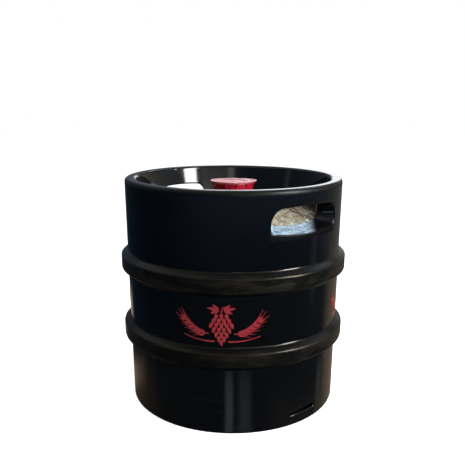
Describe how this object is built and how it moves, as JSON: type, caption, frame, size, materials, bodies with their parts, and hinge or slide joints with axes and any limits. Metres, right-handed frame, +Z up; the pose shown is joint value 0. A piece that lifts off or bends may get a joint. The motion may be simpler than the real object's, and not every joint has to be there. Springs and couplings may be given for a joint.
{
  "type": "draught beer keg",
  "caption": "Squat jacketed draught keg with rolling hoops, hand holes in the head ring, drain slots, and a capped spring-loaded extractor valve with a dip tube.",
  "frame": {"origin": "centre of the foot ring on the floor", "axes": "+Z up along the keg's axis, with one hand hole on +X and the other on -X"},
  "size_m": [0.3984, 0.3984, 0.4],
  "materials": {
    "jacket_black": "glossy moulded black polyurethane, scuffed grey on the rolling hoops",
    "vessel_steel": "pickled deep-drawn stainless steel with fine brushing and shallow ripples",
    "machined_steel": "turned stainless steel",
    "tube_steel": "drawn stainless tube",
    "spring_steel": "bright spring wire",
    "ball_steel": "polished steel ball",
    "seal_rubber": "black food-grade rubber",
    "bush_plastic": "natural white plastic",
    "cap_red": "glossy thin red plastic",
    "print_red": "red screen-printed ink on the jacket"
  },
  "bodies": {
    "keg_body": {"jacket": "jacket_black", "vessel_upper_shell": "vessel_steel", "vessel_lower_shell": "vessel_steel", "neck_fitting": "machined_steel", "neck_gasket": "seal_rubber", "valve_housing": "machined_steel", "lock_ring": "spring_steel", "spring_cage": "machined_steel", "tube_guide_bush": "bush_plastic", "gas_valve_spring": "spring_steel"},
    "dust_cap": {"dust_cap": "cap_red"},
    "siphon": {"siphon_tube": "tube_steel", "siphon_head": "machined_steel", "seal_support_ring": "machined_steel", "gas_valve_seal": "seal_rubber", "ball_spring": "spring_steel"},
    "valve_ball": {"product_valve_ball": "ball_steel"}
  },
  "joints": [
    {"name": "cap_pull", "type": "slide", "parent": "keg_body", "child": "dust_cap", "axis": [0, 0, 1], "range_m": [0, 0.06]},
    {"name": "siphon_press", "type": "slide", "parent": "keg_body", "child": "siphon", "axis": [0, 0, -1], "range_m": [0, 0.01], "stiffness_N_per_m": 4000, "springref_m": -0.02, "deforming": ["gas_valve_spring"]},
    {"name": "ball_press", "type": "slide", "parent": "siphon", "child": "valve_ball", "axis": [0, 0, -1], "range_m": [0, 0.006], "stiffness_N_per_m": 500, "springref_m": -0.01, "deforming": ["ball_spring"]}
  ]
}
